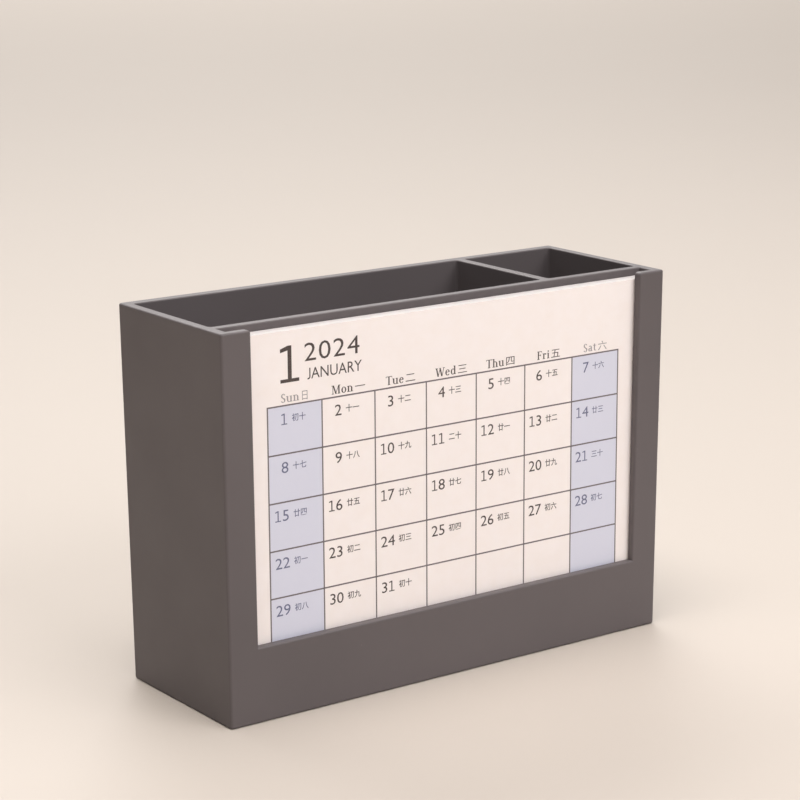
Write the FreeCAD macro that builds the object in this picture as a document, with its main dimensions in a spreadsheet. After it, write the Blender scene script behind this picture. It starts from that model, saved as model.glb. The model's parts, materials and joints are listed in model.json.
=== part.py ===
"""Desk organiser with a slide-in month calendar: a pen box and twelve month cards.

The holder is one moulding: a drafted box with a large and a small pen compartment, and in front of
them an upright slot, open at the top, behind a U-shaped window frame. Twelve month cards stand in
the slot one behind another, and each can be drawn straight up and out of it.

Frame: +Z up, the front of the holder faces -Y, +X runs along its width, and the origin is at the
centre of its footprint on the surface that it stands on. All sizes are in millimetres.
"""
import FreeCAD, Part
import os
import Sketcher

MONTHS = (
    "january", "february", "march", "april", "may", "june",
    "july", "august", "september", "october", "november", "december",
)

# Two points nearer than this are at the same place.
TOUCH = 1e-4

# Driving dimensions: alias, value, meaning.
DIMENSIONS = (
    ("width", 155.0, "holder over its side walls, at the rim"),
    ("depth", 54.2, "holder over its front and back faces, at the rim"),
    ("height", 110.5, "desk to rim"),
    ("side_draft", 1.0, "how far each side wall leans in from rim to base"),
    ("front_draft", 0.5, "how far the front face leans in from rim to base"),
    ("back_draft", 1.0, "how far the back face leans in from rim to base"),
    ("side_wall", 2.9, "side walls beside the compartments, at the rim"),
    ("back_wall", 3.5, "back wall, at the rim"),
    ("divider_wall", 3.0, "wall between the two compartments, at the rim"),
    ("card_wall", 2.8, "wall between the card slot and the compartments, at the rim"),
    ("frame_wall", 2.6, "window frame in front of the cards, at the rim"),
    ("core_draft", 0.6, "how far each compartment wall leans in from rim to floor"),
    ("floor_thickness", 3.0, "floor of the compartments"),
    ("small_compartment", 33.1, "inside width of the right-hand compartment, at the rim"),
    ("post_width", 9.4, "window frame's upright, seen from the front, at the rim"),
    ("post_lean", 0.8, "how much wider each upright is where it meets the bar"),
    ("bar_height", 21.8, "desk to the top of the window frame's lower bar"),
    ("corner_radius", 0.8, "upright outer corners"),
    ("base_radius", 0.8, "edges around the base"),
    ("inner_radius", 1.0, "upright corners inside the compartments"),
    ("post_radius", 1.0, "top inner corner of each upright"),
    ("window_radius", 0.6, "front edge around the window"),
    ("rim_radius", 0.4, "edges along the rim"),
    ("slot_side", 3.1, "side wall beside the card slot, at the rim"),
    ("slot_floor", 3.3, "floor below the card slot"),
    ("card_thickness", 0.32, "month card, heavy paper board"),
    ("card_spacing", 0.05, "air between two cards"),
    ("card_play", 0.1, "air in front of the first card"),
    ("slot_spare", 0.25, "room behind the last card"),
    ("card_side_play", 0.4, "air beside a card, at each end of the slot"),
    ("card_drop", 2.2, "rim to the top edge of a card"),
    ("month_count", len(MONTHS), "cards in the slot"),
)

# Positions worked out from the driving dimensions: alias, formula, meaning.
DERIVED = (
    ("card_height", "=height - card_drop - slot_floor", "month card, 105 as ISO A6"),
    ("card_pitch", "=card_thickness + card_spacing", "from one card to the next"),
    ("stack_depth", "=month_count * card_pitch - card_spacing", "all the cards together"),
    ("slot_width", "=width - 2 * slot_side", "card slot, side to side"),
    ("card_width", "=slot_width - 2 * card_side_play", "month card, 148 as ISO A6"),
    ("slot_depth", "=card_play + stack_depth + slot_spare", "card slot, front to back"),
    ("card_wall_front", "=frame_wall + slot_depth", "front of the card wall"),
    ("core_front", "=card_wall_front + card_wall", "front of the compartments"),
    ("core_depth", "=depth - back_wall - core_front", "compartments, front to back"),
    ("large_compartment", "=width - 2 * side_wall - divider_wall - small_compartment", "its width"),
    ("small_left", "=side_wall + large_compartment + divider_wall", "left side of the small one"),
)


def add_dimension_sheet(doc):
    """Write every driving and derived dimension into the document's spreadsheet."""
    sheet = doc.addObject("Spreadsheet::Sheet", "Dimensions")
    for row, (alias, value, meaning) in enumerate(DIMENSIONS + DERIVED, start=1):
        sheet.set(f"A{row}", alias)
        sheet.setAlias(f"B{row}", alias)
        sheet.set(f"B{row}", str(value))
        sheet.set(f"C{row}", meaning)
        doc.recompute()
    return sheet


def cell(formula):
    """Turn a formula written with the sheet's aliases into one that a document object can use."""
    names = sorted((entry[0] for entry in DIMENSIONS + DERIVED), key=len, reverse=True)
    words = []
    word = ""
    for letter in formula + " ":
        if letter.isalnum() or letter == "_":
            word += letter
            continue
        words.append(f"Dimensions.{word}" if word in names else word)
        words.append(letter)
        word = ""
    return "".join(words).strip()


def origin_plane(body, role):
    """Find one of a body's own origin planes."""
    for feature in body.Origin.OriginFeatures:
        if feature.Role == role:
            return feature
    raise ValueError(f"{body.Label} has no {role}")


def new_body(doc, label):
    """Start a body whose label names its node."""
    body = doc.addObject("PartDesign::Body", label)
    body.Label = label
    return body


def new_sketch(body, name, role, offset):
    """Start a sketch on an origin plane, moved by three formulas in the sketch's own axes."""
    sketch = body.newObject("Sketcher::SketchObject", name)
    sketch.AttachmentSupport = [(origin_plane(body, role), "")]
    sketch.MapMode = "FlatFace"
    for axis, formula in zip("xyz", offset):
        sketch.setExpression(f"AttachmentOffset.Base.{axis}", cell(formula))
    return sketch


def plan_sketch(body, name, level):
    """Start a level sketch whose origin is the holder's front left corner at the rim."""
    return new_sketch(body, name, "XY_Plane", ("-width / 2", "-depth / 2", level))


def bind(sketch, name, constraint, formula):
    """Add a dimension to a sketch and bind it to the sheet."""
    index = sketch.addConstraint(constraint)
    sketch.renameConstraint(index, name)
    sketch.setExpression(f"Constraints.{name}", cell(formula))


def draw_box(sketch, left, low, wide, high, flare=None):
    """Draw a rectangle from its near corner and its two sides, each given as a formula.

    With a flare, both sides lean out, and each is that much further out at the top. The corners
    drawn first only set the shape's sense: the bound formulas then give it its size and place.
    """
    corners = [FreeCAD.Vector(x, y, 0) for x, y in ((1, 1), (9, 1), (9, 9), (1, 9))]
    for turn in range(4):
        sketch.addGeometry(Part.LineSegment(corners[turn], corners[(turn + 1) % 4]), False)
    for turn in range(4):
        sketch.addConstraint(Sketcher.Constraint("Coincident", turn, 2, (turn + 1) % 4, 1))
    for level_side in (0, 2):
        sketch.addConstraint(Sketcher.Constraint("Horizontal", level_side))
    bind(sketch, "left", Sketcher.Constraint("DistanceX", -1, 1, 0, 1, 1.0), left)
    bind(sketch, "low", Sketcher.Constraint("DistanceY", -1, 1, 0, 1, 1.0), low)
    bind(sketch, "wide", Sketcher.Constraint("DistanceX", 0, 1, 0, 2, 8.0), wide)
    bind(sketch, "high", Sketcher.Constraint("DistanceY", 0, 1, 2, 2, 8.0), high)
    if flare is None:
        for upright_side in (1, 3):
            sketch.addConstraint(Sketcher.Constraint("Vertical", upright_side))
    else:
        bind(sketch, "flare_left", Sketcher.Constraint("DistanceX", 2, 2, 0, 1, 0.5), flare)
        bind(sketch, "flare_right", Sketcher.Constraint("DistanceX", 0, 2, 2, 1, 0.5), flare)


def extrude(doc, body, kind, name, sketch, length, reverse=False, lean="0"):
    """Pad or pocket a sketch by a formula, and check that it changed the body the right way.

    The sides lean in by the length that the lean formula gives.
    """
    before = body.Tip.Shape.Volume if body.Tip else 0.0
    feature = body.newObject(f"PartDesign::{kind}", name)
    feature.Profile = sketch
    feature.setExpression("Length", cell(length))
    feature.setExpression("TaperAngle", cell(f"-atan(({lean}) / ({length}))"))
    feature.Reversed = reverse
    doc.recompute()
    gained = feature.Shape.Volume - before
    if (gained > 0) != (kind == "Pad"):
        raise ValueError(f"{name} changed the volume by {gained:.3f}")


def extent(edge):
    """Box the start, the middle and the end of an edge."""
    box = FreeCAD.BoundBox()
    for share in (0.0, 0.5, 1.0):
        box.add(edge.valueAt(edge.FirstParameter + share * (edge.LastParameter - edge.FirstParameter)))
    return box


def edges_where(shape, test):
    """Name the edges of a shape that a test on the edge's extent accepts."""
    return [f"Edge{n}" for n, edge in enumerate(shape.Edges, start=1) if test(extent(edge))]


def round_edges(doc, body, name, radius, test):
    """Fillet the edges whose extent a test accepts."""
    base = body.Tip
    chosen = edges_where(base.Shape, test)
    if not chosen:
        raise ValueError(f"{name} found no edges")
    feature = body.newObject("PartDesign::Fillet", name)
    feature.Base = (base, chosen)
    feature.setExpression("Radius", cell(radius))
    doc.recompute()


def lean_faces(doc, body, name, lean, test):
    """Draft the faces whose normal a test accepts, so that they lean in below the rim."""
    base = body.Tip
    faces = list(enumerate(base.Shape.Faces, start=1))
    feature = body.newObject("PartDesign::Draft", name)
    feature.Base = (base, [f"Face{n}" for n, face in faces if test(face.normalAt(0, 0))])
    rim = [f"Face{n}" for n, face in faces if face.normalAt(0, 0).z > 1 - TOUCH]
    feature.NeutralPlane = (base, rim)
    feature.setExpression("Angle", cell(f"atan({lean} / height)"))
    feature.Reversed = True
    doc.recompute()


def make_outer_block(doc, body, sizes):
    """Make the drafted outer block, with its upright corners and its base edges rounded."""
    outline = plan_sketch(body, "RimOutline", "height")
    draw_box(outline, "0", "0", "width", "depth")
    extrude(doc, body, "Pad", "OuterBlock", outline, "height", reverse=True)
    lean_faces(doc, body, "SideDraft", "side_draft", lambda normal: abs(normal.x) > 1 - TOUCH)
    lean_faces(doc, body, "FrontDraft", "front_draft", lambda normal: normal.y < TOUCH - 1)
    lean_faces(doc, body, "BackDraft", "back_draft", lambda normal: normal.y > 1 - TOUCH)
    round_edges(
        doc, body, "UprightCorners", "corner_radius", lambda box: box.ZLength > sizes["height"] / 2)
    round_edges(doc, body, "BaseEdges", "base_radius", lambda box: box.ZMax < TOUCH)


def cut_compartment(doc, body, sizes, name, left, wide):
    """Cut one drafted compartment down from the rim and round its upright corners."""
    mouth = plan_sketch(body, name + "Mouth", "height")
    draw_box(mouth, left, "core_front", wide, "core_depth")
    known = {middle_of(extent(edge)) for edge in body.Tip.Shape.Edges}
    extrude(doc, body, "Pocket", name, mouth, "height - floor_thickness", lean="core_draft")
    round_edges(
        doc, body, name + "Corners", "inner_radius",
        lambda box: box.ZLength > sizes["height"] / 2 and middle_of(box) not in known)


def middle_of(box):
    """Give the middle of an edge's extent, rounded, to tell new edges from old ones."""
    return tuple(round(value, 3) for value in box.Center)


def cut_card_slot(doc, body):
    """Cut the slot that the cards stand in."""
    slot = plan_sketch(body, "CardSlotOutline", "height")
    draw_box(slot, "slot_side", "frame_wall", "slot_width", "slot_depth")
    extrude(doc, body, "Pocket", "CardSlot", slot, "height - slot_floor")


def cut_window(doc, body, sizes):
    """Open the front of the slot, which leaves two uprights and a lower bar as the frame."""
    window = new_sketch(body, "WindowOutline", "XZ_Plane", ("-width / 2", "0", "depth / 2"))
    foot = "post_width + post_lean"
    draw_box(window, foot, "bar_height", f"width - 2 * ({foot})", "height - bar_height", "post_lean")
    extrude(doc, body, "Pocket", "Window", window, "frame_wall")
    half_window = sizes["width"] / 2 - sizes["post_width"]
    frame_back = sizes["frame_wall"] - sizes["depth"] / 2

    def on_post_corner(box):
        across = abs(abs(box.Center.x) - half_window) < TOUCH and box.XLength < TOUCH
        return across and abs(box.ZMin - sizes["height"]) < TOUCH and box.YMax - frame_back < TOUCH

    def on_window_front(box):
        beside = abs(abs(box.Center.x) - half_window) < sizes["post_lean"]
        upright = beside and box.ZLength > sizes["bar_height"]
        lower = abs(box.Center.z - sizes["bar_height"]) < TOUCH and box.XLength > half_window
        corner = box.ZMax > sizes["height"] - TOUCH and box.ZLength < 2 * sizes["post_radius"]
        bend = corner and box.ZLength > TOUCH and abs(box.Center.x) < half_window + sizes["post_radius"]
        return (upright or lower or bend) and box.YMax < frame_back - sizes["frame_wall"] / 2

    round_edges(doc, body, "PostCorners", "post_radius", on_post_corner)
    round_edges(doc, body, "WindowEdges", "window_radius", on_window_front)


def make_holder(doc, sizes):
    """Make the holder's one moulding."""
    body = new_body(doc, "holder_body")
    make_outer_block(doc, body, sizes)
    cut_compartment(doc, body, sizes, "LargeCompartment", "side_wall", "large_compartment")
    cut_compartment(doc, body, sizes, "SmallCompartment", "small_left", "small_compartment")
    cut_card_slot(doc, body)
    cut_window(doc, body, sizes)
    rim = sizes["height"]
    round_edges(
        doc, body, "RimEdges", "rim_radius",
        lambda box: box.ZMin > rim - TOUCH and box.DiagonalLength > sizes["post_radius"] * 2)
    return body


def make_card(doc, month, index):
    """Make one month card, standing on the slot's floor in its place in the stack."""
    body = new_body(doc, f"card_{month}")
    sketch = new_sketch(body, f"{month}_outline", "XZ_Plane", ("-card_width / 2", "0", "0"))
    draw_box(sketch, "0", "0", "card_width", "card_height")
    extrude(doc, body, "Pad", f"{month}_board", sketch, "card_thickness", reverse=True)
    front = f"frame_wall + card_play + {index} * card_pitch - depth / 2"
    body.setExpression("Placement.Base.y", cell(front))
    body.setExpression("Placement.Base.z", cell("slot_floor"))
    return body


def check_document(doc, bodies):
    """Stop if any object failed or any sub-part has no valid solid."""
    doc.recompute()
    for item in doc.Objects:
        if "Invalid" in item.State or "Error" in item.State:
            raise ValueError(f"{item.Name} is {item.State}")
    for body in bodies:
        if body.Shape.isNull() or not body.Shape.isValid() or len(body.Shape.Solids) != 1:
            raise ValueError(f"{body.Label} is not one valid solid")


def main():
    """Build the document and write one STEP file for each sub-part."""
    doc = FreeCAD.newDocument("DeskCalendar")
    sheet = add_dimension_sheet(doc)
    sizes = {entry[0]: float(sheet.get(entry[0])) for entry in DIMENSIONS + DERIVED}
    bodies = [make_holder(doc, sizes)]
    for index, month in enumerate(MONTHS):
        bodies.append(make_card(doc, month, index))
    check_document(doc, bodies)
    os.makedirs("parts", exist_ok=True)
    for body in bodies:
        body.Shape.exportStep(f"parts/{body.Label}.step")
        box = body.Shape.optimalBoundingBox(False, False)
        size = f"{box.XLength:.2f} x {box.YLength:.2f} x {box.ZLength:.2f}"
        print(f"{body.Label}: {size}, volume {body.Shape.Volume:.1f}")


main()
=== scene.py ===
"""Looks of the desk organiser with its slide-in month cards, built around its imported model.

The holder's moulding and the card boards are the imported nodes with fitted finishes.
Each card gets its print here: numerals, headings, ruled grid and tinted weekend columns, as thin
closed meshes on the card's face that ride with the card.
"""
import json
import logging
import math
from dataclasses import dataclass
from enum import Enum
from typing import Any, Iterable

import bpy
from mathutils import Matrix, Vector

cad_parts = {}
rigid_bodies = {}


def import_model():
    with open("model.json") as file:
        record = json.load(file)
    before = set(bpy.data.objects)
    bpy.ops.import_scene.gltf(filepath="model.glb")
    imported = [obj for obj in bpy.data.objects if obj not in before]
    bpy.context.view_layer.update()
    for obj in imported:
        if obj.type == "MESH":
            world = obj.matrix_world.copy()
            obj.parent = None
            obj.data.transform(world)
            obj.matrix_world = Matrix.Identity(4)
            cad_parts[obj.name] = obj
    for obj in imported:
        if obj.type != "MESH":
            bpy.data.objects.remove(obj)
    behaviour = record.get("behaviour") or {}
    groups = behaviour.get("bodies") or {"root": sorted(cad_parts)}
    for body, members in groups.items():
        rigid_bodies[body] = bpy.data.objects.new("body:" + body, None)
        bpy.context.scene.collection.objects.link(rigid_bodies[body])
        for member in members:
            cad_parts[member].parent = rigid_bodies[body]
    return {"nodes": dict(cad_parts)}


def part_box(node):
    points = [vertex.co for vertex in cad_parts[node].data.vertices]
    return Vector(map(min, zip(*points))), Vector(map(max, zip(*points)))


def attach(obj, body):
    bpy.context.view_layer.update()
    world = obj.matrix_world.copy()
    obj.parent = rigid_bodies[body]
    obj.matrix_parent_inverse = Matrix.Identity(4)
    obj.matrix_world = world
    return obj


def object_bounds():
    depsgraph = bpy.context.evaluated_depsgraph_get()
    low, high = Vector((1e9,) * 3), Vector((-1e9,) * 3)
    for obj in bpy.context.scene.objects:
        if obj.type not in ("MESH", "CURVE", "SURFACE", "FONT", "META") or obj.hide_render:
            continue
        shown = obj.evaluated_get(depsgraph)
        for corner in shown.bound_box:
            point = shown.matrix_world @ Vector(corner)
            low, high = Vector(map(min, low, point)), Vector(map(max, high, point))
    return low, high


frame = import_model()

LOG = logging.getLogger("desk_calendar")
MM = 0.001
CAD_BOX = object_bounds()
RGB = tuple[float, float, float]


def shade(red: int, green: int, blue: int) -> RGB:
    """Turn a colour given as a display shows it, 0 to 255 a channel, into linear light.

    Args:
        red: the red channel.
        green: the green channel.
        blue: the blue channel.

    Returns:
        The linear colour.
    """
    def linear(channel: int) -> float:
        """Undo the display's curve for one channel."""
        value = channel / 255
        return value / 12.92 if value <= 0.04045 else ((value + 0.055) / 1.055) ** 2.4

    return (linear(red), linear(green), linear(blue))


def toned(colour: RGB, tone: float) -> RGB:
    """Lighten or darken a linear colour by a factor."""
    return (colour[0] * tone, colour[1] * tone, colour[2] * tone)


class Weekday(Enum):
    """Days of the week in the order of the printed columns, with their printed names."""

    SUNDAY = "Sun"
    MONDAY = "Mon"
    TUESDAY = "Tue"
    WEDNESDAY = "Wed"
    THURSDAY = "Thu"
    FRIDAY = "Fri"
    SATURDAY = "Sat"

    @property
    def column(self) -> int:
        """Place of the day's column, counted from the left."""
        return list(Weekday).index(self)

    @property
    def is_weekend(self) -> bool:
        """Whether the day's column is tinted."""
        return self in (Weekday.SUNDAY, Weekday.SATURDAY)


class Ink(Enum):
    """The inks that a card is printed with.

    Attributes:
        DARK: the title, and the working days' headings and dates.
        GREY: the weekend's headings.
        BLUE: its dates.
        TINT: its two columns.
        RULE: the grid's lines.
    """

    DARK = "dark"
    GREY = "grey"
    BLUE = "blue"
    TINT = "tint"
    RULE = "rule"


INK_COLOURS: dict[Ink, RGB] = {
    Ink.DARK: shade(66, 54, 50), Ink.GREY: shade(158, 151, 153), Ink.BLUE: shade(100, 104, 136),
    Ink.TINT: shade(214, 215, 230), Ink.RULE: shade(104, 95, 97),
}


@dataclass(frozen=True)
class Month:
    """One month of the year that the cards show.

    Attributes:
        name: the month's name in lower case, as in its card's node.
        days: how many days it has.
    """

    name: str
    days: int


MONTHS = (
    Month("january", 31), Month("february", 29), Month("march", 31), Month("april", 30),
    Month("may", 31), Month("june", 30), Month("july", 31), Month("august", 31),
    Month("september", 30), Month("october", 31), Month("november", 30), Month("december", 31),
)


# ---------------------------------------------------------------------------------------------
# Node trees and finishes
# ---------------------------------------------------------------------------------------------


class NodeTree:
    """A node tree under construction, with the calls that materials and geometry share."""

    def __init__(self, tree: Any) -> None:
        """Take the tree to fill."""
        self.nodes = tree.nodes
        self.links = tree.links

    def join(self, source: Any, target: Any) -> None:
        """Link an output to an input."""
        self.links.new(source, target)

    def feed(self, socket: Any, value: Any) -> None:
        """Set an input to a number or a colour, or link an output to it.

        Args:
            socket: the input.
            value: a number, a linear colour or an output.
        """
        if isinstance(value, (int, float)):
            socket.default_value = value
        elif isinstance(value, tuple):
            socket.default_value = (*value, 1.0)
        else:
            self.join(value, socket)

    def math(self, operation: str, first: Any, second: Any) -> Any:
        """Combine two values.

        Args:
            operation: the math node's operation, such as MULTIPLY.
            first: an output or a number.
            second: an output or a number.

        Returns:
            The result's output.
        """
        node = self.nodes.new("ShaderNodeMath")
        node.operation = operation
        self.feed(node.inputs[0], first)
        self.feed(node.inputs[1], second)
        return node.outputs["Value"]


class Shader(NodeTree):
    """A material under construction, with short calls for the nodes that the finishes use.

    Attributes:
        MIDDLE: the range that a noise pattern spends most of its area in.
    """

    MIDDLE = (0.3, 0.7)

    def __init__(self, name: str) -> None:
        """Start a material with a principled surface.

        Args:
            name: the material's name.
        """
        self.material = bpy.data.materials.new(name)
        self.material.use_nodes = True
        super().__init__(self.material.node_tree)
        self.surface = self.nodes["Principled BSDF"]
        self.place = self.nodes.new("ShaderNodeTexCoord").outputs["Object"]

    def noise(self, scale: float, detail: float = 3.0, roughness: float = 0.5) -> Any:
        """Add a noise pattern on object coordinates.

        Args:
            scale: features per metre.
            detail: octaves of finer noise.
            roughness: strength of the finer octaves.

        Returns:
            The pattern's factor output.
        """
        node = self.nodes.new("ShaderNodeTexNoise")
        node.inputs["Scale"].default_value = scale
        node.inputs["Detail"].default_value = detail
        node.inputs["Roughness"].default_value = roughness
        self.join(self.place, node.inputs["Vector"])
        return node.outputs["Fac"]

    def level(self) -> Any:
        """Add the height above the piece's origin.

        Returns:
            The height's output, in metres.
        """
        node = self.nodes.new("ShaderNodeSeparateXYZ")
        self.join(self.place, node.inputs["Vector"])
        return node.outputs["Z"]

    def speckle(self, scale: float, smallest: float, largest: float) -> Any:
        """Add sparse round specks.

        Args:
            scale: cells per metre.
            smallest: distance from a cell's middle that is wholly speck.
            largest: distance from a cell's middle where the speck ends.

        Returns:
            A value that is 1 in a speck and 0 elsewhere.
        """
        node = self.nodes.new("ShaderNodeTexVoronoi")
        node.inputs["Scale"].default_value = scale
        self.join(self.place, node.inputs["Vector"])
        return self.span(node.outputs["Distance"], smallest, largest, 1.0, 0.0)

    def span(self, value: Any, low: float, high: float, to_low: float, to_high: float) -> Any:
        """Map a value's range to another range, clamped.

        Args:
            value: the output to map.
            low: start of its range.
            high: end of its range.
            to_low: result at the start.
            to_high: result at the end.

        Returns:
            The mapped output.
        """
        node = self.nodes.new("ShaderNodeMapRange")
        self.join(value, node.inputs["Value"])
        names = ("From Min", "From Max", "To Min", "To Max")
        for name, number in zip(names, (low, high, to_low, to_high)):
            node.inputs[name].default_value = number
        return node.outputs["Result"]

    def drift(self, low: float, high: float, *pattern: float) -> Any:
        """Let a value drift between two ends over a noise pattern, which is given as for noise."""
        return self.span(self.noise(*pattern), *self.MIDDLE, low, high)

    def blend(self, share: Any, first: Any, second: Any) -> Any:
        """Mix two colours.

        Args:
            share: an output or a number, 0 for the first colour and 1 for the second.
            first: a colour or a colour output.
            second: a colour or a colour output.

        Returns:
            The mixed colour's output.
        """
        node = self.nodes.new("ShaderNodeMix")
        node.data_type = "RGBA"
        for place, value in ((0, share), (6, first), (7, second)):
            self.feed(node.inputs[place], value)
        return node.outputs[2]

    def bump(self, heights: Iterable[tuple[Any, float, float]]) -> None:
        """Chain bump patterns into the surface's normal.

        Args:
            heights: for each pattern its height output, its distance in metres and its strength.
        """
        normal = None
        for height, distance, strength in heights:
            node = self.nodes.new("ShaderNodeBump")
            node.inputs["Strength"].default_value = strength
            node.inputs["Distance"].default_value = distance
            self.join(height, node.inputs["Height"])
            if normal is not None:
                self.join(normal, node.inputs["Normal"])
            normal = node.outputs["Normal"]
        self.join(normal, self.surface.inputs["Normal"])

    def set(self, **values: Any) -> None:
        """Feed the surface's inputs, which are named with underscores for spaces."""
        for name, value in values.items():
            self.feed(self.surface.inputs[name.replace("_", " ")], value)


@dataclass(frozen=True)
class MouldedPlastic:
    """Satin moulded plastic with slight cloudiness, sparse dust and a fine even texture.

    Attributes:
        name: the material's name.
        colour: linear colour of the plastic.
        clouds: how light its darkest and lightest clouds are beside that colour.
        dust: how light a speck of dust is beside it.
        dust_cells: cells per metre that may hold a speck.
        dust_size: where a speck starts to fade and where it ends, as a share of a cell.
        dust_cover: how much of the plastic's colour a speck hides.
        roughness: its middle roughness.
        smear: how far the roughness drifts down and up.
        grain: height of its fine texture, in metres.
        ripple: height of its slow waviness, in metres.
    """

    name: str
    colour: RGB
    clouds: tuple[float, float] = (0.93, 1.05)
    dust: float = 1.9
    dust_cells: float = 520.0
    dust_size: tuple[float, float] = (0.03, 0.09)
    dust_cover: float = 0.55
    roughness: float = 0.46
    smear: tuple[float, float] = (-0.04, 0.05)
    grain: float = 0.000012
    ripple: float = 0.00012

    def make(self) -> bpy.types.Material:
        """Build the material.

        Returns:
            The material.
        """
        shader = Shader(self.name)
        cloud = shader.drift(0.0, 1.0, 14.0, 3.0, 0.55)
        colour = shader.blend(cloud, *(toned(self.colour, tone) for tone in self.clouds))
        patches = shader.span(shader.noise(90.0, 2.0), 0.60, 0.66, 0.0, self.dust_cover)
        specks = shader.math("MULTIPLY", shader.speckle(self.dust_cells, *self.dust_size), patches)
        shader.bump((
            (shader.noise(2600.0, 2.0), self.grain, 0.35),
            (shader.noise(22.0, 1.0), self.ripple, 0.10),
        ))
        shader.set(
            Base_Color=shader.blend(specks, colour, toned(self.colour, self.dust)),
            Roughness=shader.math("ADD", shader.drift(*self.smear, 38.0, 4.0, 0.6), self.roughness),
            IOR=1.5, Specular_IOR_Level=0.4)
        return shader.material


@dataclass(frozen=True)
class PaperBoard:
    """Uncoated heavy paper board: a faint mottle, fibres in the bump and painted shade on its cut upper
    edge.

    Attributes:
        name: the material's name.
        colour: linear colour of the board.
        top: height of its upper edge above the piece's origin, in metres.
        cut: how light the cut edge is beside the board's face; this darkening is painted shade.
        cut_band: how far below the upper edge the painted shade starts and is full, in millimetres.
        warmth: how light the mottle is beside the board's face, in each channel.
        dryness: its least and greatest roughness.
    """

    name: str
    colour: RGB
    top: float
    # painted shade: the board's colour is darkened by this factor along its upper edge
    cut: float = 0.66
    cut_band: tuple[float, float] = (0.06, 0.02)
    warmth: RGB = (0.985, 0.972, 0.955)
    dryness: tuple[float, float] = (0.58, 0.68)

    def make(self) -> bpy.types.Material:
        """Build the material.

        Returns:
            The material.
        """
        shader = Shader(self.name)
        warmer = tuple(channel * share for channel, share in zip(self.colour, self.warmth))
        face = shader.blend(shader.drift(0.0, 1.0, 210.0, 5.0, 0.65), self.colour, warmer)
        # painted shade: a thin band below the upper edge is darkened in the board's colour
        start, full = (self.top - below * MM for below in self.cut_band)
        edge = shader.span(shader.level(), start, full, 0.0, 1.0)
        shader.bump(((shader.noise(3800.0, 4.0, 0.7), 0.000008, 0.35),))
        shader.set(
            Base_Color=shader.blend(edge, face, toned(self.colour, self.cut)),
            Roughness=shader.drift(*self.dryness, 600.0), IOR=1.45, Specular_IOR_Level=0.35)
        return shader.material


@dataclass(frozen=True)
class PrintedInk:
    """Offset ink on board: slightly uneven coverage that lets the paper show.

    Attributes:
        name: the material's name.
        colour: linear colour of the ink at full strength.
        paper: linear colour of the board below.
        show_through: the largest share of paper that shows.
        dryness: its least and greatest roughness.
    """

    name: str
    colour: RGB
    paper: RGB
    show_through: float = 0.08
    dryness: tuple[float, float] = (0.46, 0.56)

    def make(self) -> bpy.types.Material:
        """Build the material.

        Returns:
            The material.
        """
        shader = Shader(self.name)
        share = shader.span(shader.noise(4200.0, 4.0, 0.7), 0.35, 0.75, 0.0, self.show_through)
        shader.bump(((shader.noise(3800.0, 4.0, 0.7), 0.000006, 0.3),))
        shader.set(
            Base_Color=shader.blend(share, self.colour, self.paper),
            Roughness=shader.drift(*self.dryness, 900.0, 2.0), IOR=1.45, Specular_IOR_Level=0.35)
        return shader.material


@dataclass(frozen=True)
class Table:
    """The plain pale surface that the object stands on.

    Attributes:
        name: the material's name.
        colour: its linear colour.
        cloud: how light its darkest clouds are beside that colour.
    """

    name: str
    colour: RGB
    cloud: float = 0.985

    def make(self) -> bpy.types.Material:
        """Build the material.

        Returns:
            The material.
        """
        shader = Shader(self.name)
        colour = shader.blend(shader.noise(6.0), self.colour, toned(self.colour, self.cloud))
        shader.set(Base_Color=colour, Roughness=0.6, Specular_IOR_Level=0.3)
        return shader.material


# ---------------------------------------------------------------------------------------------
# Flat shapes and lettering
# ---------------------------------------------------------------------------------------------


@dataclass(frozen=True)
class Flat:
    """A flat shape of polygons, with points given across to the right and up.

    Attributes:
        points: its corners.
        faces: its polygons, each counterclockwise.
    """

    points: tuple[tuple[float, float], ...]
    faces: tuple[tuple[int, ...], ...]

    @property
    def extent(self) -> tuple[float, float, float, float]:
        """Ends of the shape.

        Returns:
            Its left, low, right and high ends.
        """
        across = [point[0] for point in self.points]
        up = [point[1] for point in self.points]
        return min(across), min(up), max(across), max(up)

    def placed(self, across: float, up: float, wide: float, high: float) -> "Flat":
        """Scale the shape about its origin and then move it.

        Args:
            across: distance to the right.
            up: distance up.
            wide: scale across.
            high: scale up.

        Returns:
            The moved copy.
        """
        points = tuple((across + x * wide, up + z * high) for x, z in self.points)
        return Flat(points, self.faces)


def upright(flat: Flat) -> Flat:
    """Turn every face of a flat shape counterclockwise.

    Args:
        flat: the shape.

    Returns:
        The turned copy.
    """
    faces = []
    for face in flat.faces:
        corners = [flat.points[corner] for corner in face]
        turn = sum(a[0] * b[1] - b[0] * a[1] for a, b in zip(corners, corners[1:] + corners[:1]))
        faces.append(face if turn > 0 else tuple(reversed(face)))
    return Flat(flat.points, tuple(faces))


def bar(left: float, low: float, right: float, high: float) -> Flat:
    """Make an upright rectangle from its ends."""
    return Flat(((left, low), (right, low), (right, high), (left, high)), ((0, 1, 2, 3),))


def plate(*corners: tuple[float, float]) -> Flat:
    """Make a convex polygon from its corners."""
    return upright(Flat(tuple(corners), (tuple(range(len(corners))),)))


def gathered(flats: Iterable[Flat]) -> Flat:
    """Put several flat shapes into one.

    Args:
        flats: the shapes.

    Returns:
        One shape with all their points and faces.
    """
    points: list[tuple[float, float]] = []
    faces: list[tuple[int, ...]] = []
    for flat in flats:
        start = len(points)
        points.extend(flat.points)
        faces.extend(tuple(start + corner for corner in face) for face in flat.faces)
    return Flat(tuple(points), tuple(faces))


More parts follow.
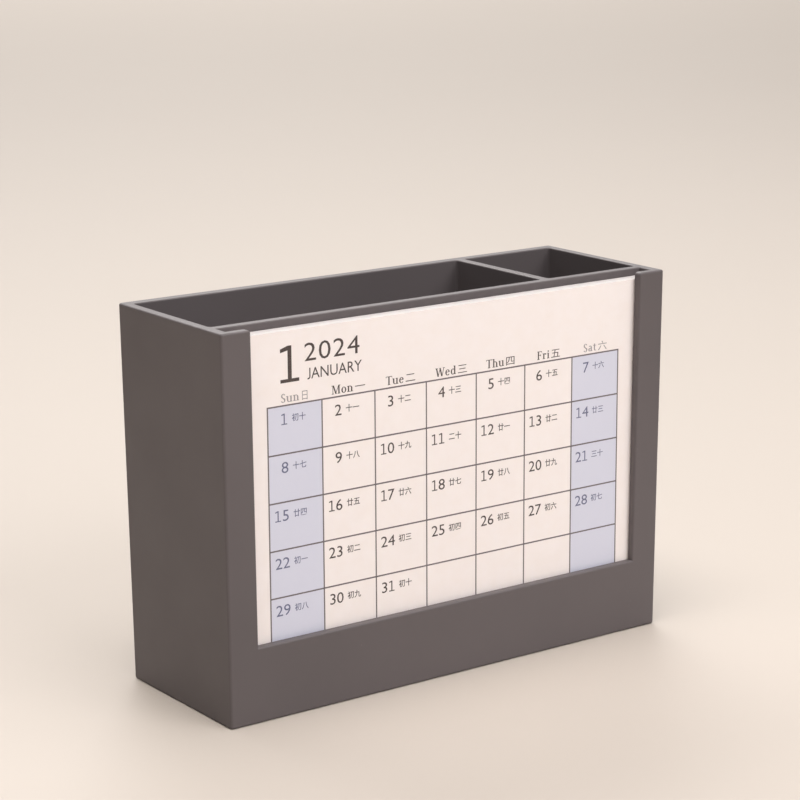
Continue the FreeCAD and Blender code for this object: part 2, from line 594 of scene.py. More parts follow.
@dataclass(frozen=True)
class Bowl:
    """A stretch of a round stroke between an outer and an inner ellipse with one middle.

    Attributes:
        across: the middle's distance to the right.
        up: the middle's distance up.
        wide: the outer ellipse's half width.
        high: its half height.
        side: the stroke's width where it runs up and down.
        cap: the stroke's width where it runs across.
        TURN: degrees that one straight piece of it spans at most.
    """

    TURN = 30

    across: float
    up: float
    wide: float
    high: float
    side: float
    cap: float

    def drawn(self, start: float, end: float) -> Flat:
        """Draw the stroke from one angle to another.

        Args:
            start: the first angle in degrees, counterclockwise from the right.
            end: the last angle in degrees; a whole turn closes the stroke.

        Returns:
            The stroke's shape.
        """
        steps = max(2, math.ceil((end - start) / self.TURN))
        closed = end - start >= 360
        angles = [math.radians(start + (end - start) * step / steps) for step in range(steps + 1)]
        if closed:
            angles.pop()
        outer = [
            (self.across + self.wide * math.cos(a), self.up + self.high * math.sin(a)) for a in angles]
        inner = [(
            self.across + (self.wide - self.side) * math.cos(a),
            self.up + (self.high - self.cap) * math.sin(a)) for a in angles]
        count = len(angles)
        faces = tuple(
            (n, (n + 1) % count, (n + 1) % count + count, n + count) for n in range(steps))
        return upright(Flat(tuple(outer + inner), faces))


class SansFace:
    """Plain lettering in ems, from the built-in outlines, with its own footed one and seated J.

    Attributes:
        CAP: a capital's height.
        FINENESS: straight pieces in each curve of the outlines.
        J_STEP: from the start of a J to the next letter, in cap heights.
    """

    CAP = 0.69
    FINENESS = 3
    J_STEP = 0.42

    def __init__(self) -> None:
        """Start with nothing set."""
        self.cut: dict[tuple[str, float], Flat] = {}

    def footed_one(self, weight: float) -> Flat:
        """Draw the numeral one with a flag and a foot.

        Args:
            weight: its stem's width, in cap heights.

        Returns:
            Its shape, in ems.
        """
        middle, flag = 0.30, 0.925
        foot, flag_weight = 0.75 * weight, 0.8 * weight
        left, right = middle - weight / 2, middle + weight / 2
        return gathered((
            bar(left, foot, right, 1.0),
            bar(0.0, 0.0, 2 * middle, foot),
            plate((left, 1.0), (0.0, flag), (0.0, flag - flag_weight), (left, 1.0 - weight)),
        )).placed(0.0, 0.0, self.CAP, self.CAP)

    def seated_j(self) -> Flat:
        """Draw the capital J, which stands on the line.

        Returns:
            Its shape, in ems.
        """
        weight, right, bend = 0.13, 0.34, 0.20
        hook = Bowl(0.08, bend, 0.26, 0.24, weight, weight).drawn(-115.0, 0.0)
        letter = gathered((bar(right - weight, bend, right, 1.0), hook))
        return letter.placed(0.0, 0.0, self.CAP, self.CAP)

    def letters(self, text: str, thinned: float = 0.0) -> Flat:
        """Set letters with the built-in outlines.

        Args:
            text: what to set.
            thinned: how far every outline is drawn in, in ems.

        Returns:
            The letters' shape, in ems.
        """
        if (text, thinned) not in self.cut:
            curve = bpy.data.curves.new("lettering", "FONT")
            curve.body = text
            curve.resolution_u = self.FINENESS
            curve.offset = -thinned
            setting = bpy.data.objects.new("lettering", curve)
            bpy.context.collection.objects.link(setting)
            bpy.context.view_layer.update()
            graph = bpy.context.evaluated_depsgraph_get()
            mesh = bpy.data.meshes.new_from_object(setting.evaluated_get(graph), depsgraph=graph)
            points = tuple((corner.co.x, corner.co.y) for corner in mesh.vertices)
            faces = tuple(tuple(face.vertices) for face in mesh.polygons)
            self.cut[text, thinned] = upright(Flat(points, faces))
            bpy.data.objects.remove(setting)
            bpy.data.curves.remove(curve)
            bpy.data.meshes.remove(mesh)
        return self.cut[text, thinned]

    def word(self, text: str, left: float, low: float, high: float, widened: float) -> list[Flat]:
        """Set a word in capitals.

        Args:
            text: the word.
            left: where it starts.
            low: its line.
            high: its cap height.
            widened: how much wider than the built-in outlines it is.

        Returns:
            The word's shapes.
        """
        size = high / self.CAP
        if not text.startswith("J"):
            return [self.letters(text).placed(left, low, size * widened, size)]
        rest_left = left + self.J_STEP * high * widened
        return [
            self.seated_j().placed(left, low, size * widened, size),
            self.letters(text[1:]).placed(rest_left, low, size * widened, size)]

    def figures(
            self, number: int, right: float, low: float, high: float, step: float,
            widened: float = 1.12, weight: float = 0.125, thinned: float = 0.0) -> list[Flat]:
        """Set a number in evenly spaced numerals that end at the right.

        Args:
            number: the number.
            right: where its last numeral's place ends.
            low: its line.
            high: its height.
            step: from one numeral to the next.
            widened: how much wider than the built-in outlines the numerals are.
            weight: the stem's width of a numeral one, in heights.
            thinned: how far the other numerals are drawn in, in ems.

        Returns:
            The numerals' shapes.
        """
        size = high / self.CAP
        row = []
        for place, figure in enumerate(reversed(str(number))):
            shape = self.footed_one(weight) if figure == "1" else self.letters(figure, thinned)
            left, _, far, _ = shape.extent
            wide = size if figure == "1" else size * widened
            middle = right - (place + 0.5) * step
            row.append(shape.placed(middle - wide * (left + far) / 2, low, wide, size))
        return row


class SerifFace:
    """Bookish lettering for the weekday names, in cap heights.

    Attributes:
        STEM: width of a heavy stroke.
        HAIR: width of a hairline and height of a serif.
        SMALL: height of a small letter.
        SERIF: how far a serif stands out.
    """

    STEM = 0.15
    HAIR = 0.065
    SMALL = 0.68
    SERIF = 0.08

    def __init__(self) -> None:
        """Draw the letters once."""
        self.drawn = self.glyphs()

    def stem(self, left: float, low: float, high: float, feet: str) -> list[Flat]:
        """Draw an upright stroke with serifs.

        Args:
            left: its left edge.
            low: its lower end.
            high: its upper end.
            feet: which serifs it has: l and r for below left and right, L and R for above.

        Returns:
            Its shapes.
        """
        right = left + self.STEM
        shapes = [bar(left, low, right, high)]
        for mark in feet:
            level = high - self.HAIR if mark.isupper() else low
            start = left - self.SERIF if mark in "lL" else right
            shapes.append(bar(start, level, start + self.SERIF, level + self.HAIR))
        return shapes

    def slope(self, start: float, end: float, low: float, high: float, thick: float) -> Flat:
        """Draw a straight sloping stroke from its left edges at the low and high ends."""
        return plate((start, low), (start + thick, low), (end + thick, high), (end, high))

    def arch(self, across: float, up: float, wide: float, high: float, start: float, end: float) -> Flat:
        """Draw a round stroke with heavy sides and thin ends."""
        return Bowl(across, up, wide, high, self.STEM, self.HAIR).drawn(start, end)

    def glyphs(self) -> dict[str, tuple[float, list[Flat]]]:
        """Draw every letter that the weekday names use.

        Returns:
            For each letter its width and its shapes.
        """
        stem, hair, small, top = self.STEM, self.HAIR, self.SMALL, 1.0 - self.HAIR
        shoulder = self.arch(0.34, 0.42, 0.27, 0.27, 0.0, 125.0)
        return {
            "S": (0.62, [
                self.arch(0.30, 0.74, 0.23, 0.27, 20.0, 230.0),
                self.arch(0.29, 0.27, 0.25, 0.29, -160.0, 50.0),
                self.slope(0.36, 0.08, 0.34, 0.64, stem)]),
            "u": (0.74, [
                *self.stem(0.08, 0.20, small, "L"), self.arch(0.34, 0.24, 0.26, 0.26, 180.0, 315.0),
                *self.stem(0.46, 0.0, small, "Lr")]),
            "n": (0.76, [
                *self.stem(0.10, 0.0, small, "lrL"), shoulder, *self.stem(0.46, 0.0, 0.42, "lr")]),
            "M": (1.08, [
                bar(0.14, 0.0, 0.14 + hair, 1.0), bar(0.04, 0.0, 0.30, hair), bar(0.02, top, 0.26, 1.0),
                self.slope(0.45, 0.14, 0.0, 1.0, stem), self.slope(0.45, 0.80, 0.0, 1.0, hair),
                *self.stem(0.78, 0.0, 1.0, "lrR")]),
            "o": (0.68, [self.arch(0.33, 0.33, 0.28, 0.36, 0.0, 360.0)]),
            "T": (0.78, [
                *self.stem(0.31, 0.0, 1.0, "lr"), bar(0.03, top, 0.74, 1.0),
                plate((0.03, 0.78), (0.09, top), (0.03, top)),
                plate((0.74, 0.78), (0.74, top), (0.68, top))]),
            "e": (0.64, [
                self.arch(0.32, 0.33, 0.27, 0.36, 15.0, 325.0), bar(0.10, 0.35, 0.55, 0.35 + hair)]),
            "W": (1.16, [
                self.slope(0.28, 0.08, 0.0, 1.0, stem), self.slope(0.32, 0.56, 0.0, 1.0, hair),
                self.slope(0.72, 0.50, 0.0, 1.0, stem), self.slope(0.78, 1.00, 0.0, 1.0, hair),
                bar(0.02, top, 0.30, 1.0), bar(0.92, top, 1.14, 1.0)]),
            "d": (0.74, [
                self.arch(0.32, 0.33, 0.26, 0.36, 45.0, 315.0), *self.stem(0.46, 0.0, 1.0, "rL")]),
            "h": (0.76, [
                *self.stem(0.10, 0.0, 1.0, "lrL"), shoulder, *self.stem(0.46, 0.0, 0.42, "lr")]),
            "F": (0.72, [
                *self.stem(0.14, 0.0, 1.0, "lrL"),
                bar(0.22, top, 0.64, 1.0), bar(0.22, 0.48, 0.48, 0.48 + hair),
                plate((0.64, 0.76), (0.64, top), (0.58, top)), bar(0.46, 0.40, 0.46 + hair, 0.62)]),
            "r": (0.54, [
                *self.stem(0.10, 0.0, small, "lrL"), self.arch(0.36, 0.42, 0.20, 0.26, 50.0, 140.0),
                Bowl(0.42, 0.58, 0.075, 0.075, 0.075, 0.075).drawn(0.0, 360.0)]),
            "i": (0.40, [
                *self.stem(0.12, 0.0, small, "lrL"),
                Bowl(0.195, 0.88, 0.09, 0.09, 0.09, 0.09).drawn(0.0, 360.0)]),
            "a": (0.66, [
                self.arch(0.27, 0.20, 0.21, 0.21, 40.0, 320.0),
                self.arch(0.29, 0.46, 0.22, 0.24, 0.0, 150.0),
                *self.stem(0.36, 0.0, 0.47, "r")]),
            "t": (0.50, [
                bar(0.12, 0.18, 0.12 + stem, 0.86), bar(0.02, small - hair, 0.42, small),
                self.arch(0.29, 0.18, 0.17, 0.19, 180.0, 320.0)]),
        }

    def word(
            self, text: str, left: float, low: float, high: float,
            widened: float) -> tuple[list[Flat], float]:
        """Set a word.

        Args:
            text: the word.
            left: where it starts.
            low: its line.
            high: its cap height.
            widened: how much wider than drawn it is.

        Returns:
            The word's shapes, and where it ends.
        """
        shapes = []
        for letter in text:
            step, parts = self.drawn[letter]
            shapes.append(gathered(parts).placed(left, low, high * widened, high))
            left += step * high * widened
        return shapes, left


# ---------------------------------------------------------------------------------------------
# The cards and their print
# ---------------------------------------------------------------------------------------------


def closed_relief(name: str, flat: Flat, corner: Vector, relief: float, sunk: float) -> bpy.types.Object:
    """Make a flat shape in millimetres a closed thin solid that stands on a card's face.

    Args:
        name: the new piece's name.
        flat: the shape, measured from the card's lower left corner.
        corner: that corner of the card's face, in metres.
        relief: how far the shape stands out, in millimetres.
        sunk: how deep its hidden back lies in the board, in millimetres.

    Returns:
        The piece.
    """
    count = len(flat.points)
    points = [
        (corner.x + x * MM, corner.y + depth * MM, corner.z + z * MM)
        for depth in (-relief, sunk) for x, z in flat.points]
    rims = {pair for face in flat.faces for pair in zip(face, face[1:] + face[:1])}
    faces = list(flat.faces)
    faces += [tuple(point + count for point in reversed(face)) for face in flat.faces]
    faces += [(b, a, a + count, b + count) for a, b in sorted(rims) if (b, a) not in rims]
    mesh = bpy.data.meshes.new(name)
    mesh.from_pydata(points, [], faces)
    mesh.validate()
    piece = bpy.data.objects.new(name, mesh)
    bpy.context.collection.objects.link(piece)
    return piece


class GridTree(NodeTree):
    """A Geometry Nodes tree that rules a calendar's upright and level lines as thin bars.

    Attributes:
        SIZES: the tree's inputs for sizes and places, in metres.
        UPRIGHT_DEPTH: an upright bar's whole depth, half of it in the board, in reliefs.
        LEVEL_DEPTH: the same of a level bar, which lies a little higher where the two cross.
    """

    SIZES = ("Column Width", "Row Height", "Line Width", "Relief", "Left", "Low", "Face")
    UPRIGHT_DEPTH = 2.0
    LEVEL_DEPTH = 2.3

    def __init__(self) -> None:
        """Build the tree."""
        self.tree = bpy.data.node_groups.new("calendar_grid", "GeometryNodeTree")
        super().__init__(self.tree)
        sockets = self.tree.interface
        sockets.new_socket("Geometry", in_out="OUTPUT", socket_type="NodeSocketGeometry")
        for name in ("Columns", "Rows"):
            sockets.new_socket(name, in_out="INPUT", socket_type="NodeSocketInt")
        for name in self.SIZES:
            sockets.new_socket(name, in_out="INPUT", socket_type="NodeSocketFloat")
        sockets.new_socket("Ink", in_out="INPUT", socket_type="NodeSocketMaterial")
        self.given = self.nodes.new("NodeGroupInput").outputs
        wide = self.math("MULTIPLY", self.given["Columns"], self.given["Column Width"])
        tall = self.math("MULTIPLY", self.given["Rows"], self.given["Row Height"])
        thick = self.given["Line Width"]
        uprights = self.lines(
            self.given["Columns"],
            self.vector(self.given["Left"], self.given["Face"], self.middle(self.given["Low"], tall)),
            self.vector(self.given["Column Width"], 0.0, 0.0),
            self.vector(thick, self.depth(self.UPRIGHT_DEPTH), self.math("ADD", tall, thick)))
        levels = self.lines(
            self.given["Rows"],
            self.vector(self.middle(self.given["Left"], wide), self.given["Face"], self.given["Low"]),
            self.vector(0.0, 0.0, self.given["Row Height"]),
            self.vector(self.math("ADD", wide, thick), self.depth(self.LEVEL_DEPTH), thick))
        joined = self.nodes.new("GeometryNodeJoinGeometry")
        self.join(uprights, joined.inputs[0])
        self.join(levels, joined.inputs[0])
        real = self.nodes.new("GeometryNodeRealizeInstances")
        inked = self.nodes.new("GeometryNodeSetMaterial")
        self.join(joined.outputs[0], real.inputs[0])
        self.join(real.outputs[0], inked.inputs["Geometry"])
        self.join(self.given["Ink"], inked.inputs["Material"])
        self.join(inked.outputs[0], self.nodes.new("NodeGroupOutput").inputs[0])

    def middle(self, start: Any, length: Any) -> Any:
        """Give the middle of a stretch from its start and length."""
        return self.math("ADD", start, self.math("MULTIPLY", length, 0.5))

    def depth(self, share: float) -> Any:
        """Give a bar's whole depth, which is given in reliefs, as an output."""
        return self.math("MULTIPLY", self.given["Relief"], share)

    def vector(self, x: Any, y: Any, z: Any) -> Any:
        """Make a vector.

        Args:
            x: its part along X, an output or a number.
            y: its part along Y.
            z: its part along Z.

        Returns:
            Its output.
        """
        node = self.nodes.new("ShaderNodeCombineXYZ")
        for socket, value in zip(node.inputs, (x, y, z)):
            self.feed(socket, value)
        return node.outputs[0]

    def lines(self, spaces: Any, start: Any, step: Any, size: Any) -> Any:
        """Put one bar at each end of a number of spaces.

        Args:
            spaces: how many spaces the bars part.
            start: the first bar's middle.
            step: from one bar to the next.
            size: a bar's size.

        Returns:
            The instances' output.
        """
        row = self.nodes.new("GeometryNodeMeshLine")
        row.mode = "OFFSET"
        self.join(self.math("ADD", spaces, 1.0), row.inputs["Count"])
        self.join(start, row.inputs["Start Location"])
        self.join(step, row.inputs["Offset"])
        block = self.nodes.new("GeometryNodeMeshCube")
        self.join(size, block.inputs["Size"])
        placed = self.nodes.new("GeometryNodeInstanceOnPoints")
        self.join(row.outputs["Mesh"], placed.inputs["Points"])
        self.join(block.outputs["Mesh"], placed.inputs["Instance"])
        return placed.outputs["Instances"]

    def made(self, name: str, values: dict[str, Any]) -> bpy.types.Object:
        """Run the tree and give its result as a plain mesh piece.

        Args:
            name: the new piece's name.
            values: the tree's inputs by name.

        Returns:
            The piece.
        """
        draft = bpy.data.objects.new(name + "_draft", bpy.data.meshes.new(name + "_draft"))
        bpy.context.collection.objects.link(draft)
        modifier = draft.modifiers.new("grid", "NODES")
        modifier.node_group = self.tree
        for item in self.tree.interface.items_tree:
            if item.item_type == "SOCKET" and item.in_out == "INPUT":
                modifier[item.identifier] = values[item.name]
        bpy.context.view_layer.update()
        graph = bpy.context.evaluated_depsgraph_get()
        mesh = bpy.data.meshes.new_from_object(draft.evaluated_get(graph), depsgraph=graph)
        mesh.name = name
        draft.modifiers.remove(modifier)
        bpy.data.objects.remove(draft)
        piece = bpy.data.objects.new(name, mesh)
        bpy.context.collection.objects.link(piece)
        return piece


@dataclass
class CardPrint:
    """The print on a month card: sizes in millimetres from the card's lower left corner.

    Attributes:
        grid_left: left line of the grid.
        grid_top: its upper line.
        column_width: one weekday's column.
        row_height: one week's row.
        row_count: rows of the grid.
        line_width: a ruled line.
        tint_relief: how far the tinted columns stand out.
        rule_relief: how far the ruled lines stand out.
        ink_relief: how far the lettering stands out.
        sunk: how deep every print's back lies in the board.
        number_box: left, low, right and high ends of the month's number.
        year: the year that the cards show.
        year_right: where the year's last numeral ends.
        year_low: its line.
        year_high: its height.
        year_step: from one numeral of the year to the next.
        name_left: where the month's name starts.
        name_low: its line.
        name_high: its cap height.
        heading_rise: from the grid's upper line to the weekday names' line.
        heading_high: their cap height.
        sign_size: em of the sign after a weekday's name.
        date_right: from a column's line to the end of its dates.
        date_drop: from a row's line down to its dates' line.
        date_high: a date's height.
        date_step: from one numeral of a date to the next.
        count_left: from a column's line to the start of the second count.
        count_drop: from a row's line down to the second count's middle.
        count_size: em of the second count's signs.
        SIGNS: the sign after each weekday's name.
        TENS: first signs of the second count.
        UNITS: its second signs: ten, then one to nine.
        COUNT_LENGTH: how many days the second count has.
        COUNT_BOLDENING: how far its outlines are drawn out, in ems.
        COUNT_MIDDLE: height of its signs' middle above their line, in ems.
        NUMBER_STEP: from one numeral of the month's number to the next, in heights.
        NUMBER_CLOSENESS: share of that step that is left where there are two of them.
        NUMBER_SHIFT: how far a second one moves the number to the left, in steps.
        NUMBER_CUT: the month's number's widening and stem, as in SansFace.figures.
        YEAR_CUT: the year's widening, stem and thinning.
        NAME_WIDENING: the month's name's widening.
        HEADING_WIDENING: a weekday name's widening.
        SIGN_GAP: from a weekday's name to its sign.
        SIGN_RISE: how far the sign stands above the name's line, in its ems.
        SIGN_HEIGHT: how tall it is set, in ems.
        NARROW_SIGN: how wide the first weekday's sign is set, in ems.
    """

    SIGNS = "日一二三四五六"
    TENS = ("初", "十", "廿")
    UNITS = "十一二三四五六七八九"
    COUNT_LENGTH = 30
    COUNT_BOLDENING = 0.01
    COUNT_MIDDLE = 0.36
    NUMBER_STEP = 0.60
    NUMBER_CLOSENESS = 0.92
    NUMBER_SHIFT = 0.35
    NUMBER_CUT = (1.05, 0.125)
    YEAR_CUT = (1.22, 0.12, 0.004)
    NAME_WIDENING = 0.94
    HEADING_WIDENING = 1.2
    SIGN_GAP = 0.3
    SIGN_RISE = 0.02
    SIGN_HEIGHT = 0.82
    NARROW_SIGN = 0.72

    grid_left: float = 12.3
    grid_top: float = 84.45
    column_width: float = 17.7
    row_height: float = 13.47
    row_count: int = 5
    line_width: float = 0.42
    tint_relief: float = 0.006
    rule_relief: float = 0.010
    ink_relief: float = 0.016
    sunk: float = 0.01
    number_box: tuple[float, float, float, float] = (16.6, 90.7, 22.75, 100.8)
    year: int = 2024
    year_right: float = 43.0
    year_low: float = 95.75
    year_high: float = 5.05
    year_step: float = 4.75
    name_left: float = 25.4
    name_low: float = 90.75
    name_high: float = 3.05
    heading_rise: float = 0.85
    heading_high: float = 2.45
    sign_size: float = 3.7
    date_right: float = 6.6
    date_drop: float = 5.3
    date_high: float = 3.1
    date_step: float = 2.5
    count_left: float = 7.8
    count_drop: float = 3.7
    count_size: float = 2.3

    def __post_init__(self) -> None:
        """Get the two kinds of lettering and the grid's tree ready."""
        self.sans = SansFace()
        self.serif = SerifFace()
        self.grid = GridTree()

    @property
    def grid_low(self) -> float:
        """Lower line of the grid."""
        return self.grid_top - self.row_count * self.row_height

    def column_left(self, column: int) -> float:
        """Left line of a column."""
        return self.grid_left + column * self.column_width

    def second_count(self, day: int, offset: int) -> str:
        """Give the second count's signs for a day, which run from one to thirty and start again.

        Args:
            day: the day of the month.
            offset: the second count on the day before the first.

        Returns:
            Its two signs.
        """
        count = (day + offset - 1) % self.COUNT_LENGTH + 1
        whole = {10: "初十", 20: "二十", 30: "三十"}
        return whole.get(count) or self.TENS[count // 10] + self.UNITS[count % 10]

    def tinted(self) -> Flat:
        """Cover the weekend's two columns.

        Returns:
            Their shape.
        """
        columns = (day.column for day in Weekday if day.is_weekend)
        return gathered(
            bar(self.column_left(column), self.grid_low, self.column_left(column + 1), self.grid_top)
            for column in columns)

    def title(self, number: int, name: str) -> list[Flat]:
        """Set the month's number, the year and the month's name.

        Args:
            number: the month's number.
            name: the month's name.

        Returns:
            The title's shapes.
        """
        left, low, right, high = self.number_box
        tall = high - low
        step = self.NUMBER_STEP * tall
        digits = len(str(number))
        closer = 1.0 if digits == 1 else self.NUMBER_CLOSENESS
        end = (left + right) / 2 + digits * step * closer / 2 - (digits - 1) * self.NUMBER_SHIFT * step
        return [
            *self.sans.figures(number, end, low, tall, step * closer, *self.NUMBER_CUT),
            *self.sans.figures(
                self.year, self.year_right, self.year_low, self.year_high, self.year_step,
                *self.YEAR_CUT),
            *self.sans.word(
                name.upper(), self.name_left, self.name_low, self.name_high, self.NAME_WIDENING)]

    def heading(self, day: Weekday) -> list[Flat]:
        """Set a weekday's name and its sign, together in the middle of the day's column.

        Args:
            day: the weekday.

        Returns:
            The heading's shapes.
        """
        size, gap = self.sign_size, self.SIGN_GAP
        wide = size * (self.NARROW_SIGN if day is Weekday.SUNDAY else 1.0)
        sign = self.sans.letters(self.SIGNS[day.column])
        low = self.grid_top + self.heading_rise
        _, end = self.serif.word(day.value, 0.0, low, self.heading_high, self.HEADING_WIDENING)
        left = self.column_left(day.column) + (self.column_width - end - gap - wide) / 2
        shapes, end = self.serif.word(day.value, left, low, self.heading_high, self.HEADING_WIDENING)
        return [
            *shapes, sign.placed(end + gap, low + self.SIGN_RISE * size, wide, self.SIGN_HEIGHT * size)]

    def dates(self, month: Month, first: int, count_before: int, weekend: bool) -> list[Flat]:
        """Set the dates and the second count of the weekend's or of the working days' columns.

        Args:
            month: the month.
            first: the column of its first day.
            count_before: the second count on the day before the first.
            weekend: whether to set the weekend's columns.

        Returns:
            The dates' shapes.
        """
        shapes = []
        size = self.count_size
        for day in range(1, month.days + 1):
            row, column = divmod(first + day - 1, len(Weekday))
            if list(Weekday)[column].is_weekend != weekend:
                continue
            left = self.column_left(column)
            line = self.grid_top - (row % self.row_count) * self.row_height
            shapes += self.sans.figures(
                day, left + self.date_right, line - self.date_drop, self.date_high, self.date_step)
            low = line - self.count_drop - self.COUNT_MIDDLE * size
            for place, sign in enumerate(self.second_count(day, count_before)):
                shapes.append(self.sans.letters(sign, -self.COUNT_BOLDENING).placed(
                    left + self.count_left + place * size, low, size, size))
        return shapes

    def build(self, month: Month, number: int, first: int, count_before: int) -> dict[Ink, Flat]:
        """Set a month's whole print.

        Args:
            month: the month.
            number: its number.
            first: the column of its first day.
            count_before: the second count on the day before the first.

        Returns:
            The print's shapes by ink, without the ruled lines.
        """
        weekdays = [shape for day in Weekday if not day.is_weekend for shape in self.heading(day)]
        weekends = [shape for day in Weekday if day.is_weekend for shape in self.heading(day)]
        dark = self.title(number, month.name) + weekdays + self.dates(month, first, count_before, False)
        return {
            Ink.TINT: self.tinted(),
            Ink.DARK: gathered(dark),
            Ink.GREY: gathered(weekends),
            Ink.BLUE: gathered(self.dates(month, first, count_before, True))}

    def dress(self, body: str, month: Month, shapes: dict[Ink, Flat], inks: dict[Ink, Any]) -> int:
        """Put a month's print on its card, one piece for each ink.

        Args:
            body: the card's body, which is named like its node.
            month: the month.
            shapes: the print's shapes by ink.
            inks: the material of each ink.

        Returns:
            How many pieces were made.
        """
        corner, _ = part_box(body)
        pieces = [self.grid.made(f"print_{month.name}_grid", {
            "Columns": len(Weekday), "Rows": self.row_count,
            "Column Width": self.column_width * MM, "Row Height": self.row_height * MM,
            "Line Width": self.line_width * MM, "Relief": self.rule_relief * MM,
            "Left": corner.x + self.grid_left * MM, "Low": corner.z + self.grid_low * MM,
            "Face": corner.y, "Ink": inks[Ink.RULE]})]
        for ink, flat in shapes.items():
            relief = self.tint_relief if ink is Ink.TINT else self.ink_relief
            name = f"print_{month.name}_{ink.value}"
            piece = closed_relief(name, flat, corner, relief, self.sunk)
            piece.data.materials.append(inks[ink])
            pieces.append(piece)
        for piece in pieces:
            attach(piece, body)
        return len(pieces)


@dataclass
class CardStack:
    """The twelve month cards, front to back.

    Attributes:
        paper: linear colour of the boards.
        tones: how light each board in turn is beside the first; the boards behind it are darker as
            painted shade, which marks the dark gaps between the sheets at the stack's upper edges.
        first_column: the column of the first day of the year.
        first_count: the second count on the day before it.
    """

    paper: RGB = shade(248, 240, 238)
    # painted shade: the boards behind the first are darkened so the stack's upper edges show gaps
    # between sheets
    tones: tuple[float, ...] = (1.0, 0.95, 0.985, 0.93, 0.97, 0.94, 0.99, 0.95, 0.965, 0.93, 0.98, 0.95)
    first_column: int = 0
    first_count: int = 9

    def inks(self) -> dict[Ink, bpy.types.Material]:
        """Mix the inks."""
        return {
            ink: PrintedInk(f"ink_{ink.value}", colour, self.paper).make()
            for ink, colour in INK_COLOURS.items()}

    def build(self) -> None:
        """Finish each board and put its print on it."""
        inks = self.inks()
        layout = CardPrint()
        column = self.first_column
        count = self.first_count
        for number, month in enumerate(MONTHS, start=1):
            node = f"card_{month.name}"
            _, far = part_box(node)
            # painted shade: each board's colour is darkened by its place in the stack
            colour = toned(self.paper, self.tones[number - 1])
            finish_node(node, PaperBoard(f"board_{month.name}", colour, far.z).make())
            shapes = layout.build(month, number, column, count)
            pieces = layout.dress(node, month, shapes, inks)
            LOG.info("%s: board and %d printed pieces", node, pieces)
            column = (column + month.days) % len(Weekday)
            count = (count + month.days) % layout.COUNT_LENGTH


# ---------------------------------------------------------------------------------------------
# The holder
# ---------------------------------------------------------------------------------------------


def finish_node(name: str, material: bpy.types.Material) -> None:
    """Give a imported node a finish, and leave its shape as it is.

    Args:
        name: the node.
        material: its finish.
    """
    materials = frame["nodes"][name].data.materials
    materials.clear()
    materials.append(material)


@dataclass
class Holder:
    """The holder's one moulding.

    Attributes:
        plastic: the moulding's finish.
    """

    plastic: MouldedPlastic = MouldedPlastic("holder_plastic", shade(98, 91, 92))

    def dress(self) -> None:
        """Finish the moulding."""
        finish_node("holder_body", self.plastic.make())
        LOG.info("holder_body: moulded plastic")


# ---------------------------------------------------------------------------------------------
# Table, light and camera
# ---------------------------------------------------------------------------------------------


@dataclass(frozen=True)
class Softbox:
    """A rectangular studio light.

    Attributes:
        name: the light's name.
        place: where it hangs, in metres.
        aim: what it points at, in metres.
        wide: its width in metres.
        high: its height in metres.
        power: its power in watts.
        colour: its linear colour.
    """

    name: str
    place: tuple[float, float, float]
    aim: tuple[float, float, float]
    wide: float
    high: float
    power: float
    colour: RGB = (1.0, 1.0, 1.0)

    def build(self) -> None:
        """Hang the light."""
        light = bpy.data.lights.new(self.name, "AREA")
        light.shape = "RECTANGLE"
        light.size = self.wide
        light.size_y = self.high
        light.energy = self.power
        light.color = self.colour
        lamp = bpy.data.objects.new(self.name, light)
        way = Vector(self.aim) - Vector(self.place)
        lamp.rotation_euler = way.to_track_quat("-Z", "Y").to_euler()
        lamp.location = self.place
        lamp.visible_camera = False
        bpy.context.collection.objects.link(lamp)


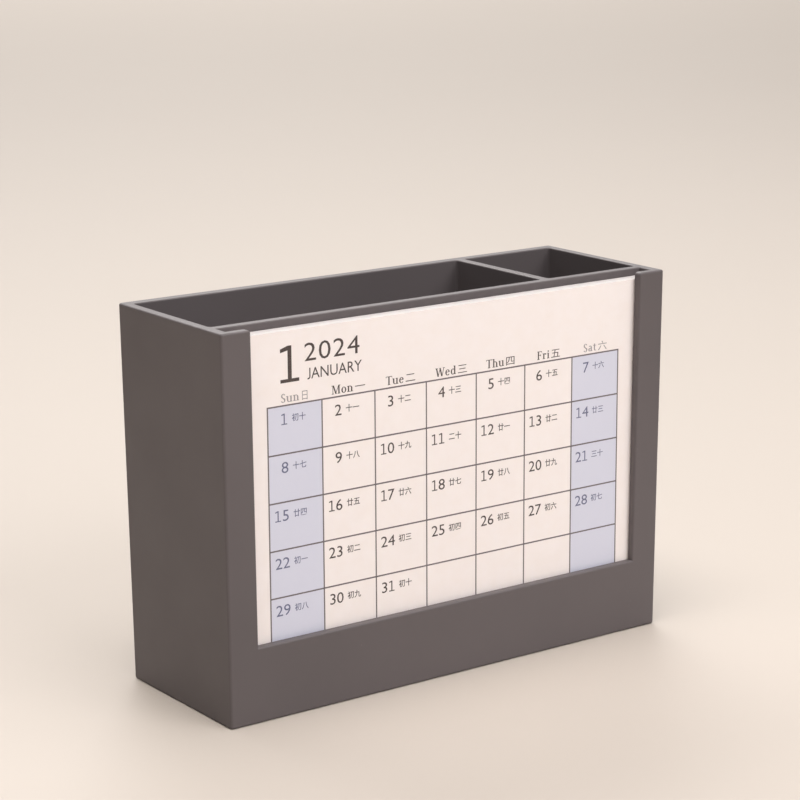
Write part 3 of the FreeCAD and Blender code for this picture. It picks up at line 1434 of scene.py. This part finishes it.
@dataclass
class Studio:
    """A pale table under soft light.

    Attributes:
        table: the table's finish.
        reach: half the table's width, in metres.
        sky: linear colour of the even light from all round.
        sky_strength: its strength.
        lights: the softboxes.
    """

    table: Table = Table("pale_table", shade(193, 183, 174))
    reach: float = 8.0
    sky: RGB = (1.0, 0.985, 0.97)
    sky_strength: float = 0.13
    lights: tuple[Softbox, ...] = (
        Softbox("window", (1.4, 5.2, 4.2), (0.5, 1.0, 0.0), 6.0, 3.0, 230.0, (1.0, 0.985, 0.965)),
        Softbox("backdrop", (2.2, 3.2, 2.4), (2.2, 3.4, 0.0), 3.0, 2.4, 62.0, (1.0, 0.99, 0.975)),
        Softbox("room", (0.5, -1.8, 1.3), (0.0, 0.0, 0.05), 1.4, 1.1, 25.5, (1.0, 0.99, 0.99)),
        Softbox("ceiling", (0.1, -0.2, 1.7), (0.0, 0.0, 0.0), 1.6, 1.6, 22.0, (1.0, 0.995, 0.99)),
        Softbox("left", (-0.5, -0.25, 2.0), (0.0, 0.0, 0.08), 0.8, 0.8, 17.0, (1.0, 0.94, 0.88)),
    )

    def build(self) -> None:
        """Lay the table and hang the lights."""
        corners = [(-1, -1), (1, -1), (1, 1), (-1, 1)]
        mesh = bpy.data.meshes.new("table")
        mesh.from_pydata([(x * self.reach, y * self.reach, 0.0) for x, y in corners], [], [(0, 1, 2, 3)])
        mesh.materials.append(self.table.make())
        table = bpy.data.objects.new("table", mesh)
        bpy.context.collection.objects.link(table)
        world = bpy.data.worlds.new("even_light")
        world.use_nodes = True
        world.node_tree.nodes["Background"].inputs["Color"].default_value = (*self.sky, 1.0)
        world.node_tree.nodes["Background"].inputs["Strength"].default_value = self.sky_strength
        bpy.context.scene.world = world
        bpy.context.scene.view_settings.view_transform = "Standard"
        for light in self.lights:
            light.build()
        LOG.info("table and %d lights", len(self.lights))


@dataclass(frozen=True)
class ViewPoint:
    """The camera, given by what it looks at.

    Attributes:
        aim_across: the point it looks at, from the holder's middle to the right, in millimetres.
        aim_up: that point's height, in millimetres, on the holder's front plane.
        distance: how far off the camera stands, in millimetres.
        heading: which way it looks, in degrees from straight ahead towards the right.
        dip: how far it looks down, in degrees.
        roll: how far it leans clockwise, in degrees.
        lens: its focal length, in millimetres.
        sensor: its sensor's width, in millimetres.
    """

    aim_across: float = -19.69
    aim_up: float = 84.58
    distance: float = 683.2
    heading: float = 35.831
    dip: float = 13.38
    roll: float = 0.31
    lens: float = 110.75
    sensor: float = 36.0

    def build(self) -> None:
        """Place the camera."""
        heading, dip, roll = (math.radians(angle) for angle in (self.heading, self.dip, self.roll))
        ahead = Vector((
            math.sin(heading) * math.cos(dip), math.cos(heading) * math.cos(dip), -math.sin(dip)))
        level = Vector((math.cos(heading), -math.sin(heading), 0.0))
        above = level.cross(ahead)
        right = level * math.cos(roll) - above * math.sin(roll)
        up = above * math.cos(roll) + level * math.sin(roll)
        aim = Vector((self.aim_across * MM, CAD_BOX[0][1], self.aim_up * MM))
        data = bpy.data.cameras.new("camera")
        data.lens = self.lens
        data.sensor_width = self.sensor
        camera = bpy.data.objects.new("camera", data)
        turn = Matrix((right, up, -ahead)).transposed().to_4x4()
        camera.matrix_world = Matrix.Translation(aim - ahead * self.distance * MM) @ turn
        bpy.context.collection.objects.link(camera)
        bpy.context.scene.camera = camera
        LOG.info("camera: %.0f mm lens", self.lens)


def main() -> None:
    """Build everything in order."""
    logging.basicConfig(level=logging.INFO, format="%(name)s: %(message)s")
    Holder().dress()
    CardStack().build()
    Studio().build()
    ViewPoint().build()


if __name__ == "__main__":
    main()
